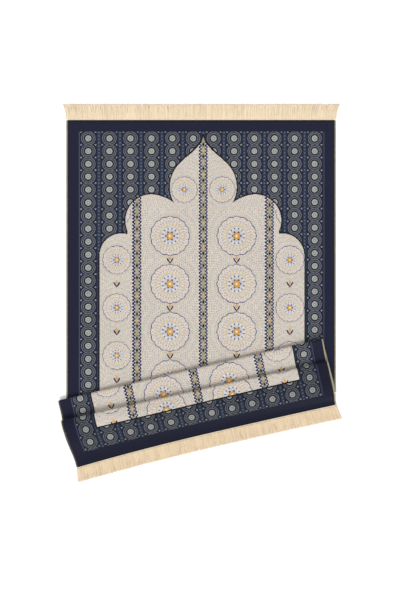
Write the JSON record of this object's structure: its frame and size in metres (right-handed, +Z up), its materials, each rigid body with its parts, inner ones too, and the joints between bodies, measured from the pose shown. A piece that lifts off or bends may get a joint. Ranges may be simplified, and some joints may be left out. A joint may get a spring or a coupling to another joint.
{
  "type": "folded prayer rug",
  "caption": "Woven prayer rug lying face up, its lower end folded back and forth twice, with overcast sides and a cotton fringe at both ends.",
  "frame": {"origin": "on the floor, under the middle of the rug's outline", "axes": "+Y towards the top of the niche, along the flat part's length; +X to the right, seen from above; +Z up, out of the woven face"},
  "size_m": [0.7256, 0.9834, 0.0351],
  "materials": {
    "cloth": "woven cotton and chenille, navy border and cream field",
    "binding": "overcast yarn, olive",
    "fringe": "twisted cotton yarn, natural cream"
  },
  "bodies": {
    "root": {"rug_cloth": "cloth", "binding_left": "binding", "binding_right": "binding", "fringe_upper": "fringe", "fringe_lower": "fringe"}
  },
  "joints": []
}
